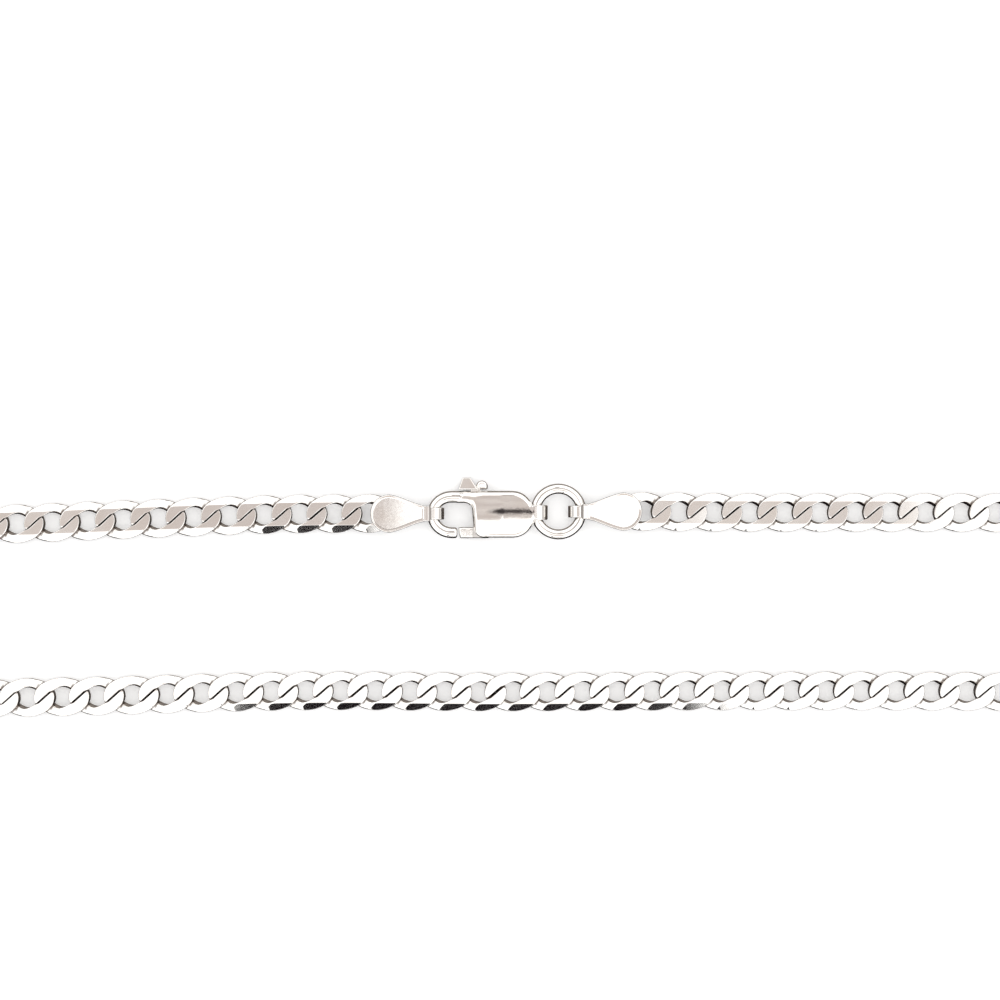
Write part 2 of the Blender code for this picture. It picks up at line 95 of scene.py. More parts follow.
class Shader:                      # a node tree that is emptied and filled again
    def __init__(self, tree):
        self.tree = tree
        tree.nodes.clear()

    def node(self, kind, settings=None, sockets=None, out=0):
        made = self.tree.nodes.new(kind)
        for name, value in (settings or {}).items():
            setattr(made, name, value)
        for name, value in (sockets or {}).items():
            self.feed(made.inputs[name], value)
        return Signal(self, made.outputs[out]) if made.outputs else None

    def feed(self, socket, value):
        if isinstance(value, Signal):
            self.tree.links.new(value.socket, socket)
        else:
            socket.default_value = value

    def mixColour(self, share, first, second):
        made = self.node("ShaderNodeMix", {"data_type": "RGBA"}, {"Factor": share}, 2)
        colours = [socket for socket in made.socket.node.inputs if socket.type == "RGBA"]
        self.feed(colours[0], first)
        self.feed(colours[1], second)
        return made

    def noise(self, vector, scale, detail=2.0, roughness=0.5):
        return self.node("ShaderNodeTexNoise", None, {
            "Vector": vector, "Scale": scale, "Detail": detail, "Roughness": roughness})

    def stretched(self, vector, factors):
        return self.node("ShaderNodeVectorMath", {"operation": "MULTIPLY"}, {0: vector, 1: factors})

    def split(self, vector):
        made = self.node("ShaderNodeSeparateXYZ", None, {0: vector})
        return [Signal(self, socket) for socket in made.socket.node.outputs]


def newMaterial(name):
    material = bpy.data.materials.new(name)
    material.use_nodes = True
    return material, Shader(material.node_tree)


def newObject(name, data):
    made = bpy.data.objects.new(name, data)
    bpy.context.scene.collection.objects.link(made)
    return made


# Silver: polished, with fine draw and polish lines, faint ripples, and painted shade in its recesses and
# where parts meet

# the last number of each look sets how strong that piece's painted shade is
silverLooks = {
    "chain": {"roughness": 0.070, "brushed": 0.4, "ripple": 0.05, "shadeStrength": 0.95},
    "clasp": {"roughness": 0.030, "brushed": 0.8, "ripple": 0.40, "shadeStrength": 0.55},
    "lever": {"roughness": 0.110, "brushed": 0.8, "ripple": 0.60, "shadeStrength": 0.45},
    "ring": {"roughness": 0.060, "brushed": 0.3, "ripple": 0.15, "shadeStrength": 0.35},
    "tag": {"roughness": 0.020, "brushed": 0.5, "ripple": 0.12, "shadeStrength": 0.70},
}
silverTones = {
    "bright": (0.955, 0.945, 0.930, 1.0),
    "warm": (0.900, 0.865, 0.825, 1.0),
    # dark brown used to paint shade into hollows and where parts meet
    "paintedShade": (0.110, 0.080, 0.065, 1.0),
}
silverGrain = {                    # noise scales, per millimetre
    "cloud": 0.55,                 # patches about 2 mm wide
    "patch": 2.6,                  # and 0.4 mm
    "lines": (0.9, 34.0, 34.0),    # draw lines
    "specks": 19.0,
    "depth": 0.0000035,            # of the relief, in metres
}


def silverFinish(name, look):
    material, shader = newMaterial(name)
    grain = shader.node("ShaderNodeAttribute", {"attribute_name": "grain"}, None, 1)
    paintedShade = shader.node("ShaderNodeAttribute", {"attribute_name": "paintedShade"}, None, 2)

    cloud = shader.noise(grain, silverGrain["cloud"], 3.0)
    patch = shader.noise(grain, silverGrain["patch"], 2.0)
    lines = shader.noise(shader.stretched(grain, silverGrain["lines"]), 1.0, 3.0, 0.65)
    specks = shader.noise(grain, silverGrain["specks"], 1.0)

    warmth = (cloud * 1.6 - 0.45).step(0.0, 1.0)
    tone = shader.mixColour(warmth, silverTones["bright"], silverTones["warm"])
    # painted shade: the colour goes to dark brown, and the surface gets rougher, where the mesh's
    # painted-shade weights are high, broken up by patch noise
    shadeShare = (paintedShade * 1.25 - patch * 0.5).step(0.10, 0.85) * look["shadeStrength"]
    colour = shader.mixColour(shadeShare, tone, silverTones["paintedShade"])
    worn = (lines - 0.5).size() * 0.16 * look["brushed"] + (cloud - 0.5).size() * 0.05
    gloss = (worn + look["roughness"] + shadeShare * 0.18 + (specks - 0.62).above(0.0) * 0.25).below(0.6)

    relief = (lines * 0.35 * look["brushed"] + patch * 1.4 * look["ripple"] + cloud * 5.0 * look["ripple"]
              + specks * 0.05)
    bump = shader.node("ShaderNodeBump", None, {
        "Strength": 1.0, "Distance": silverGrain["depth"], "Height": relief})
    surface = shader.node("ShaderNodeBsdfPrincipled", None, {
        "Base Color": colour, "Metallic": 1.0, "Roughness": gloss, "Normal": bump})
    shader.node("ShaderNodeOutputMaterial", None, {"Surface": surface})
    return material


silver = {name: silverFinish(name + "_silver_fine", look) for name, look in silverLooks.items()}


# Mesh helpers

def finishPiece(name, shape, paintedShade, look, body, node, grain=None):
    # shape is points in millimetres, faces of four corners each, and a normal for each point
    points, faces, normals = shape
    mesh = bpy.data.meshes.new(name)
    mesh.vertices.add(len(points))
    mesh.vertices.foreach_set("co", np.ascontiguousarray(points * mm, dtype=np.float32).ravel())
    mesh.loops.add(faces.size)
    mesh.loops.foreach_set("vertex_index", faces.astype(np.int32).ravel())
    mesh.polygons.add(len(faces))
    mesh.polygons.foreach_set("loop_start", np.arange(len(faces), dtype=np.int32) * faces.shape[1])
    mesh.update(calc_edges=True)
    mesh.shade_smooth()
    mesh.normals_split_custom_set_from_vertices(normals.astype(np.float32))
    # per-point weights of the painted shade, read by the silver material
    kept = mesh.attributes.new("paintedShade", "FLOAT", "POINT")
    kept.data.foreach_set("value", paintedShade.astype(np.float32))
    along = mesh.attributes.new("grain", "FLOAT_VECTOR", "POINT")
    along.data.foreach_set("vector", (points if grain is None else grain).astype(np.float32).ravel())
    mesh.materials.append(silver[look])
    piece = newObject(name, mesh)
    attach(piece, body)
    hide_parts(node)
    print(name, "made:", len(faces), "faces")


def cornerNormals(points, faces):
    # Vertex normals weighed by squared face area, so that filed flats shade truly flat
    first, second, third, fourth = (points[faces[:, k]] for k in range(4))
    cross = np.cross(third - first, fourth - second)
    weight = np.linalg.norm(cross, axis=1, keepdims=True)
    total = np.zeros_like(points)
    for k in range(4):
        np.add.at(total, faces[:, k], cross * weight)
    return total / np.maximum(np.linalg.norm(total, axis=1, keepdims=True), 1e-12)


def smoothStep(share):
    share = np.clip(share, 0.0, 1.0)
    return share * share * (3 - 2 * share)


def softMin(a, b, reach):
    blend = np.clip(0.5 + 0.5 * (b - a) / reach, 0.0, 1.0)
    return b + (a - b) * blend - reach * blend * (1 - blend)


def softMax(a, b, reach):
    return -softMin(-a, -b, reach)


def fromSegment(x, y, start, end):
    # How far along a straight piece its nearest point is, and the squared distance to it
    ex = end[0] - start[0]
    ey = end[1] - start[1]
    x = x - start[0]
    y = y - start[1]
    share = np.clip((x * ex + y * ey) / (ex * ex + ey * ey), 0.0, 1.0)
    return share, (x - share * ex) ** 2 + (y - share * ey) ** 2


def outlineDistance(x, y, corners):
    # Distance to a closed outline, negative inside
    best = np.full(np.shape(x), 1e9)
    inside = np.zeros(np.shape(x), bool)
    for (ax, ay), (bx, by) in zip(corners, corners[1:] + corners[:1]):
        best = np.minimum(best, fromSegment(x, y, (ax, ay), (bx, by))[1])
        if ay != by:
            inside ^= ((ay > y) != (by > y)) & (x < ax + (y - ay) * (bx - ax) / (by - ay))
    return np.where(inside, -np.sqrt(best), np.sqrt(best))


def roundedCorner(a, b, rounding):
    # What lies inside both a and b, with the corner between them rounded
    a = a + rounding
    b = b + rounding
    outer = np.hypot(np.maximum(a, 0.0), np.maximum(b, 0.0))
    return np.minimum(np.maximum(a, b), 0.0) + outer - rounding


def prism(flat, level, half, rounding):
    # A flat form with its rims rounded; flat is the distance to its outline
    return roundedCorner(flat, np.abs(level) - half, rounding)


def wireDistance(x, y, z, line, radii):
    # Distance to a round wire along a level line, with its own radius at each point
    best = np.full(np.shape(x), 1e9)
    for start, end, first, second in zip(line, line[1:], radii, radii[1:]):
        share, gap = fromSegment(x, y, start, end)
        best = np.minimum(best, np.sqrt(gap + z * z) - (first + (second - first) * share))
    return best


def meshFromField(field, low, high, cell):
    # Closed mesh where the field is zero: one point in each cell that it crosses, drawn on
    # to the surface, and its slope there as the normal
    steps = [np.arange(a - cell, b + 2 * cell, cell) for a, b in zip(low, high)]
    values = field(*np.meshgrid(*steps, indexing="ij"))
    values = np.where(values == 0.0, 1e-9, values)
    cells = tuple(n - 1 for n in values.shape)

    def corner(offset):
        return values[tuple(slice(o, o + n) for o, n in zip(offset, cells))]

    places = np.zeros(cells + (3,))
    crossings = np.zeros(cells)
    for axis in range(3):
        for start in np.ndindex(2, 2, 2):
            if start[axis]:
                continue
            end = tuple(1 if n == axis else o for n, o in enumerate(start))
            a = corner(start)
            b = corner(end)
            crossed = (a < 0) != (b < 0)
            share = np.where(crossed, a / np.where(crossed, a - b, 1.0), 0.0)
            for n in range(3):
                places[..., n] += crossed * (share if n == axis else start[n])
            crossings += crossed
    used = crossings > 0
    index = np.full(cells, -1)
    index[used] = np.arange(used.sum())
    origin = np.array([step[0] for step in steps])
    points = origin + cell * (np.argwhere(used) + places[used] / crossings[used][:, None])

    quads = []
    for axis in range(3):
        beside = [n for n in range(3) if n != axis]
        a = values[tuple(slice(0, -1) if n == axis else slice(1, -1) for n in range(3))]
        b = values[tuple(slice(1, None) if n == axis else slice(1, -1) for n in range(3))]
        for crossed, flip in (((a < 0) & (b >= 0), axis == 1), ((a >= 0) & (b < 0), axis != 1)):
            at = np.argwhere(crossed)
            at[:, beside] += 1
            ring = []
            for first, second in ((1, 1), (0, 1), (0, 0), (1, 0)):
                place = at.copy()
                place[:, beside[0]] -= first
                place[:, beside[1]] -= second
                ring.append(index[tuple(place.T)])
            quads.append(np.stack(ring[::-1] if flip else ring, axis=1))
    faces = np.concatenate(quads)

    nudge = cell * 0.02
    for _ in range(5):
        value, slope = fieldSlope(field, points, nudge)
        steepness = np.maximum((slope ** 2).sum(axis=1, keepdims=True), 1e-6)
        move = value[:, None] * slope / steepness
        size = np.linalg.norm(move, axis=1, keepdims=True)
        points = points - move * np.minimum(1.0, 0.5 * cell / np.maximum(size, 1e-9))
    slope = fieldSlope(field, points, nudge)[1]
    normals = slope / np.maximum(np.linalg.norm(slope, axis=1, keepdims=True), 1e-9)
    return points, faces, normals


def fieldSlope(field, points, nudge):
    slope = np.zeros_like(points)
    for n in range(3):
        shift = np.zeros(3)
        shift[n] = nudge
        slope[:, n] = field(*(points + shift).T) - field(*(points - shift).T)
    return field(*points.T), slope / (2 * nudge)


# Camera that looks straight down on the loop, as in the photo

cameraView = {
    "height": 300 * mm,            # above the floor
    "seenWidth": 100 * mm,         # of the floor that the picture shows
    "centre": (-0.4 * mm, 10.25 * mm),
    "sensor": 36.0,
}


def placeCamera():
    data = bpy.data.cameras.new("photo_camera")
    data.sensor_width = cameraView["sensor"]
    data.lens = cameraView["sensor"] * cameraView["height"] / cameraView["seenWidth"]
    data.clip_start = 0.01
    camera = newObject("photo_camera", data)
    camera.location = (*cameraView["centre"], cameraView["height"])
    bpy.context.scene.camera = camera


# Pale floor, lit a little from below as a light table is

floorLook = {"size": 3.0, "colour": (0.90, 0.90, 0.905, 1.0), "glow": 0.20, "grain": 900.0}


def square(half, level):
    return [(-half, -half, level), (half, -half, level), (half, half, level), (-half, half, level)]


def flatObject(name, corners, material):
    mesh = bpy.data.meshes.new(name)
    mesh.from_pydata(corners, [], [list(range(len(corners)))])
    mesh.materials.append(material)
    return newObject(name, mesh)


def layFloor():
    material, shader = newMaterial("pale_floor")
    place = shader.node("ShaderNodeTexCoord", None, None, 3)
    paper = shader.noise(place, floorLook["grain"], 3.0)
    bump = shader.node("ShaderNodeBump", None, {"Strength": 0.15, "Distance": 0.00002, "Height": paper})
    surface = shader.node("ShaderNodeBsdfPrincipled", None, {
        "Base Color": floorLook["colour"], "Roughness": 0.75 + paper * 0.1, "Normal": bump,
        "Specular IOR Level": 0.2, "Emission Color": (1.0, 1.0, 1.0, 1.0),
        "Emission Strength": floorLook["glow"]})
    shader.node("ShaderNodeOutputMaterial", None, {"Surface": surface})
    floor = flatObject("floor", square(floorLook["size"] / 2, 0.0), material)
    floor.visible_glossy = False   # the tent's own lower half is what silver shows below


# Soft light tent all round: white above, a little greyer low down at both sides; below the
# table's level it is dark at the front and brown-grey at the back

lightTent = {
    "white": (1.35, 1.34325, 1.32975, 1.0),
    "grey": (0.66, 0.6336, 0.6138, 1.0),       # of its sides
    "sideFrom": (0.62, 0.90), "sideUntil": (0.55, 0.30),       # where the grey begins and ends
    "sideHigh": (0.62, 0.38),      # how high it reaches
    "frontBelow": (0.012, 0.008, 0.009, 1.0),
    "backBelow": (0.26, 0.225, 0.20, 1.0),
    "frontBack": (-0.35, 0.55),    # from the one to the other
    "table": (-0.02, -0.10),       # where the dark begins
}


def hangTent():
    world = bpy.data.worlds.new("light_tent")
    bpy.context.scene.world = world
    world.use_nodes = True
    shader = Shader(world.node_tree)
    look = shader.node("ShaderNodeTexCoord")
    x, y, z = shader.split(look)
    ripple = shader.noise(look, 5.0, 3.0) - 0.5

    sides = ((x.size() + ripple * 0.10).step(*lightTent["sideFrom"])
             * (z + ripple * 0.12).step(*lightTent["sideHigh"])
             * y.size().step(*lightTent["sideUntil"]))
    upper = shader.mixColour(sides, lightTent["white"], lightTent["grey"])
    back = (y + ripple * 0.2).step(*lightTent["frontBack"])
    under = shader.mixColour(back, lightTent["frontBelow"], lightTent["backBelow"])
    tent = shader.mixColour(z.step(*lightTent["table"]), upper, under)
    seen = shader.node("ShaderNodeLightPath")
    shown = shader.mixColour(seen, tent, (1.0, 1.0, 1.0, 1.0))
    background = shader.node("ShaderNodeBackground", None, {"Color": shown, "Strength": 1.0})
    shader.node("ShaderNodeOutputWorld", None, {"Surface": background})
    bpy.context.scene.view_settings.view_transform = "Standard"
    bpy.context.scene.view_settings.look = "None"


# Studio cards that only the silver sees: a grey one level with the lens, over the upper
# strand, and a dark one low at the front. Millimetres from the camera's own axis.

roofCard = {
    "height": 300.0, "half": 420.0,
    "left": (-146.0, -134.0), "right": (90.0, 78.0), "back": (136.0, 124.0),   # where its edges fade in
    "wander": 20.0, "wanderGrain": 0.018,      # how uneven its edges are
    "claspFront": -9.0, "chainFront": -19.0, "frontSoft": 1.5, # its front edge over clasp and chains
    "clasp": (-26.0, 30.0),
    "gaps": ((-20.5, -12.5, 1.0), (12.5, 37.0, 1.5)),          # from, to and softness of two white gaps
    "gapBack": (5.0, 2.0),
    "grey": (0.585, 0.515, 0.485, 1.0), "light": (0.80, 0.74, 0.70, 1.0),
    "streaks": (0.010, 0.110, 1.0),            # noise scales of its streaks, along and across
    "lens": (-16.0, 25.0, 36.0, 14.0),         # dark middle: along, across, half length, half width
    "lensTone": (0.045, 0.038, 0.038, 1.0), "mottle": (0.50, 0.10, 1.0), "mottleDepth": 3.2,
    "patches": (                   # tone, then where the sides, the front and the back fade in
        ((0.30, 0.25, 0.22, 1.0), (20.0, 16.0), (122.0, 146.0), (255.0, 215.0)),
        ((0.62, 0.52, 0.46, 1.0), (70.0, 50.0), (-230.0, -200.0), (-98.0, -122.0)),
    ),
}
frontCard = {
    "away": 150.0,
    "outline": ((-34.0, 85.0), (-23.0, 85.0), (-23.0, 47.0), (31.0, 47.0), (31.0, 26.0), (-34.0, 26.0)),
    "dark": (0.004, 0.003, 0.004, 1.0), "lessDark": (0.010, 0.006, 0.008, 1.0),
}


def hangCard(name, corners, paint):
    material, shader = newMaterial(name)
    place = shader.stretched(shader.node("ShaderNodeTexCoord", None, None, 3), (1 / mm, 1 / mm, 1 / mm))
    glow = shader.node("ShaderNodeEmission", None, {"Color": paint(shader, place), "Strength": 1.0})
    shader.node("ShaderNodeOutputMaterial", None, {"Surface": glow})
    card = flatObject(name, (np.array(corners) * mm).tolist(), material)
    card.location = (*cameraView["centre"], 0.0)
    for rays in ("camera", "diffuse", "shadow", "transmission", "volume_scatter"):
        setattr(card, "visible_" + rays, False)


def paintRoof(shader, place):
    look = roofCard
    x, y, _ = shader.split(place)
    blur = look["frontSoft"]
    wander = (shader.noise(place, look["wanderGrain"], 3.0) - 0.5) * look["wander"]
    overClasp = x.between(*look["clasp"], blur)
    front = overClasp * (look["claspFront"] - look["chainFront"]) + look["chainFront"]
    inside = ((x + wander).step(*look["left"]) * (x + wander * 0.4).step(*look["right"])
              * (y - front).step(-blur, blur) * (y + wander * 0.5).step(*look["back"]))
    for gap in look["gaps"]:
        inside = inside * (1.0 - x.between(*gap) * y.step(*look["gapBack"]))

    streaks = shader.noise(shader.stretched(place, look["streaks"]), 1.0, 4.0, 0.6)
    grey = shader.mixColour(streaks.step(0.35, 0.70), look["grey"], look["light"])
    along, across, halfLength, halfWidth = look["lens"]
    shareAlong = (x - along) * (1 / halfLength)
    shareAcross = (y - across) * (1 / halfWidth)
    mottle = shader.noise(shader.stretched(place, look["mottle"]), 1.0, 3.0, 0.6) - 0.5
    reach = shareAlong * shareAlong + shareAcross * shareAcross
    lens = (reach + mottle * look["mottleDepth"]).step(1.4, 0.6)
    card = shader.mixColour(lens, grey, look["lensTone"])
    roof = shader.mixColour(inside, lightTent["white"], card)

    for tone, sides, start, until in look["patches"]:
        patch = x.size().step(*sides) * y.step(*start) * y.step(*until)
        roof = shader.mixColour(patch, roof, tone)
    return roof


def paintFront(shader, place):
    return shader.mixColour(shader.noise(place, 0.05, 2.0), frontCard["dark"], frontCard["lessDark"])


def hangCards():
    hangCard("roof_card", square(roofCard["half"], roofCard["height"]), paintRoof)
    away = -frontCard["away"]
    hangCard("front_card", [(across, away, high) for across, high in frontCard["outline"]], paintFront)


placeCamera()
layFloor()
hangTent()
hangCards()
print("camera, floor, tent and cards placed")


# The chain's route, as the frame's chain takes it

chainRoute = {
    "starts": {                    # from where, and which way, the points below are given
        "right tag": (13.85, 1), "right end": (96.37, -1), "middle": (0.0, 1),
        "left end": (-96.37, 1), "left tag": (-13.425, -1),
    },
    "tagLevels": (9.1, 8.9),       # across, at the right and the left tag
    "links": 109,
    "firstRun": 55,                # links from the right tag that make the right run
    "slack": 0.13,                 # given up where the two runs hook into each other
    "settle": ((0.0, 0.0), (4.0, 0.07), (35.0, 0.14), (75.0, 0.05), (140.0, -0.48), (154.0, -0.45),
               (193.0, -0.82), (207.0, -1.07), (239.0, -1.46), (300.0, -0.62), (350.0, 0.0),
               (372.0, 0.06), (379.1, 0.0)),   # how far links have crept along, at a distance
    "axisHeight": 1.2,             # of the clasp and tags, above the floor
    "levelOut": 8.8,               # how far from a tag the links still rise to it
    "finer": 24,                   # steps between the points below
    "points": (
        ("right tag", (10.0, 9.0)),
        ("right end", (56.0, 9.0), (44.0, 9.0), (33.0, 9.4), (23.0, 10.1), (15.0, 10.55), (8.0, 9.5),
         (2.2, 5.7), (0.0, 0.0), (2.2, -5.7), (8.0, -9.5), (15.0, -10.55), (23.0, -10.2),
         (33.0, -9.5), (46.0, -8.9)),
        ("middle", (25.0, -8.8), (0.0, -8.9), (-20.0, -8.8)),
        ("left end", (56.0, -9.3), (46.0, -9.5), (36.0, -9.7), (25.5, -10.4), (16.0, -10.55),
         (8.5, -9.7), (2.4, -6.0), (0.0, -0.5), (2.2, 5.0), (8.0, 8.7), (15.0, 9.7), (24.0, 9.1),
         (35.0, 8.0), (46.0, 7.85), (56.0, 8.2)),
        ("left tag", (10.0, 8.8)),
    ),
}

linkForm = {
    "length": 5.50, "width": 3.84, "thickness": 1.40,
    "wire": 0.99, "sideWire": 0.93,            # pressed wire: across at the tips and the sides
    "tall": 1.40, "tipTall": 1.95,             # and upright
    "roundness": 2.3, "pressed": 4.5,          # of its outer side at the sides and the tips; 2 is round
    "inside": 3.4,                 # and of its inner side
    "nose": 0.12, "noseRise": (0.17, 0.66),    # rounding of the outer side, and how high it reaches
    "noseCuts": (0, 15, 30, 45),   # degrees at which the rounding is cut
    "chamfer": 0.38, "tipChamfer": 0.83, "chamferFall": 66,    # bevel there, and its fall in degrees
    "seam": 40.0, "seamGap": 0.075,            # degrees that neighbours' flats meet at, and half their gap
    "seamFall": (16.0, 55.0),      # how far the cut leans, degrees, from the high arm to the low one
    "seamTurn": (-6, 32),          # where it starts to lean further, and over how many degrees
    "seamFrom": -72, "seamUntil": 38,          # degrees round from the end that the cut reaches
    "seamEase": (-46, 26, 0.4),    # past that many degrees it backs off, over how many, and how far
    "spread": 0.34, "spreadOver": (32, 92, 54),            # wire pressed wider on its inside near the seam
    "bevelRange": (24, 82),        # degrees round the section between which a bevel's edge may stand
    # contact, touch and the inner share below set the link's painted shade: near its neighbours, and on the
    # wire's inside
    "contact": 0.30, "touch": 0.06,            # how near its neighbour the wire stays dark, and is darkest
    "innerShade": 0.45,
    "twist": 0.52,                 # its rise and fall on the way round
    "flatWidth": 2.26, "bevelDrop": 0.55,      # filed flats and side bevels
    "edge": 0.10,                  # rounding of the filed edges
    "stations": 58, "crowding": 0.12,          # sections round a link, and more of them at the tight ends
    "tiltAlong": 0.35, "tiltAcross": 0.5, "seed": 925,         # degrees that links lie unevenly
    "askew": {108: (0.0, 1.3), 107: (0.0, 2.3), 106: (0.0, 2.6), 105: (0.0, 0.9)},     # single links
}


def smoothRoute():
    starts = chainRoute["starts"]
    rightY, leftY = chainRoute["tagLevels"]
    points = [(starts["right tag"][0], rightY)]
    for place, *steps in chainRoute["points"]:
        start, direction = starts[place]
        points += [(start + direction * along, across) for along, across in steps]
    points.append((starts["left tag"][0], leftY))
    points = np.array(points)
    guides = np.concatenate([[2 * points[0] - points[1]], points, [2 * points[-1] - points[-2]]])
    line = []
    for before, start, end, after in zip(guides, guides[1:], guides[2:], guides[3:]):
        bow = 2 * before - 5 * start + 4 * end - after
        swing = 3 * start - before - 3 * end + after
        for t in np.arange(chainRoute["finer"]) / chainRoute["finer"]:
            line.append(0.5 * (2 * start + (end - before) * t + bow * t * t + swing * t ** 3))
    line.append(points[-1])
    line = np.array(line)
    marks = np.concatenate([[0.0], np.cumsum(np.linalg.norm(np.diff(line, axis=0), axis=1))])
    return line, marks


def linkLevel(distance, length):
    low = linkForm["thickness"] / 2
    fromEnd = min(distance, length - distance)
    return low + (chainRoute["axisHeight"] - low) * float(smoothStep(1 - fromEnd / chainRoute["levelOut"]))


def linkPlace(line, marks, distance):
    # Middle and turn of a link, from the route at its two ends
    length = marks[-1]
    start = max(0.0, distance - linkForm["length"] / 2)
    end = min(length, distance + linkForm["length"] / 2)

    def at(mark):
        return np.array([np.interp(mark, marks, column) for column in line.T])

    heading = at(end) - at(start)
    low = linkLevel(start, length)
    high = linkLevel(end, length)
    along = Vector((heading[0], heading[1], high - low)).normalized()
    across = Vector((-along.y, along.x, 0)).normalized()
    turn = Matrix((along, across, along.cross(across))).transposed()
    return Vector((*at(distance), (low + high) / 2)), turn


def linkColumns(lower, upper):
    # Directions round the wire at which a section's corners stand, with a pair of them
    # at each filed face
    pair = math.radians(0.02)
    top = math.pi / 2
    turns = (-top, lower, upper, top, top + math.pi)
    angles = []
    for start, end, count in zip(turns, turns[1:], (4, 7, 4, 13)):
        angles += [start + pair, *np.linspace(start, end, count)[1:-1], end - pair]
    return np.array(angles)


def clippedSection(halves, tall, roundnesses, limits):
    # A pressed round section, with its own half width and roundness outside and inside, cut
    # by straight limits (normal, distance)
    turns = np.arange(144) * (2 * math.pi / 144)
    half = np.where(np.cos(turns) > 0, *halves)
    roundness = np.where(np.cos(turns) > 0, *roundnesses)
    across = half * np.sign(np.cos(turns)) * np.abs(np.cos(turns)) ** (2 / roundness)
    upright = tall * np.sign(np.sin(turns)) * np.abs(np.sin(turns)) ** (2 / roundness)
    polygon = list(np.stack([across, upright], axis=1))
    for normal, reach in limits:
        kept = []
        for here, after in zip(polygon, polygon[1:] + polygon[:1]):
            a = float(normal @ here) - reach
            b = float(normal @ after) - reach
            if a <= 0:
                kept.append(here)
            if (a < 0) != (b < 0) and a != b:
                kept.append(here + (after - here) * (a / (a - b)))
        polygon = kept
    return np.array(polygon)


def linkPlanes():
    # The flats, sides and bevels of a link, and which way a bevel faces
    side = linkForm["width"] / 2
    flat = linkForm["flatWidth"] / 2
    thick = linkForm["thickness"] / 2
    fall = math.atan2(linkForm["bevelDrop"], side - flat)
    bevel = np.array((0.0, math.sin(fall), math.cos(fall)))
    planes = [((0, 0, 1), thick), ((0, 0, -1), thick), ((0, 1, 0), side), ((0, -1, 0), side)]
    reach = bevel @ np.array((0.0, flat, thick))
    for sideways in (1, -1):
        for upward in (1, -1):
            planes.append(((0, sideways * bevel[1], upward * bevel[2]), reach))
    return [(np.array(normal, float), reach) for normal, reach in planes], bevel


def planeLimit(normal, reach, centre, outward, raised):
    # How a plane limits a section; not at all where it runs along the section
    flatNormal = np.array((normal @ outward, normal @ raised))
    size = np.linalg.norm(flatNormal)
    if size < 0.05:
        return []
    return [(flatNormal / size, (reach - normal @ centre) / size - linkForm["edge"])]


def noseLimits(half, tip):
    # Cuts that round the outer side of a section, and bevel it
    form = linkForm
    rise = form["noseRise"][0] + (form["noseRise"][1] - form["noseRise"][0]) * tip
    cuts = []
    for angle in map(math.radians, form["noseCuts"]):
        reach = (half - form["nose"]) * math.cos(angle) + form["nose"]
        cuts.append((angle, reach + rise * math.sin(angle)))
    chamfer = form["chamfer"] + (form["tipChamfer"] - form["chamfer"]) * tip
    cuts.append((math.radians(form["chamferFall"]), chamfer))
    return [(np.array((math.cos(angle), upward * math.sin(angle))), reach)
            for angle, reach in cuts for upward in (1, -1)]


def seamPlane(end, upward, past, pitch):
    # The cut that keeps a link's flat clear of its neighbour's, at a link's right (1) or left end
    # and on its upper (1) or lower side; past is how far round from the end, in degrees
    form = linkForm
    steep, gentle = (math.radians(fall) for fall in form["seamFall"])
    start, over = form["seamTurn"]
    fall = steep + (gentle - steep) * float(smoothStep((past - start) / over))
    seam = math.radians(form["seam"])
    normal = np.array((-end * math.sin(seam) * math.cos(fall),
                       end * upward * math.cos(seam) * math.cos(fall), upward * math.sin(fall)))
    start, over, ease = form["seamEase"]
    reach = normal @ np.array((end * pitch / 2, 0.0, upward * form["thickness"] / 2))
    reach += ease * float(smoothStep((start - past) / over))
    return normal, reach - form["seamGap"] * np.linalg.norm(normal[:2])


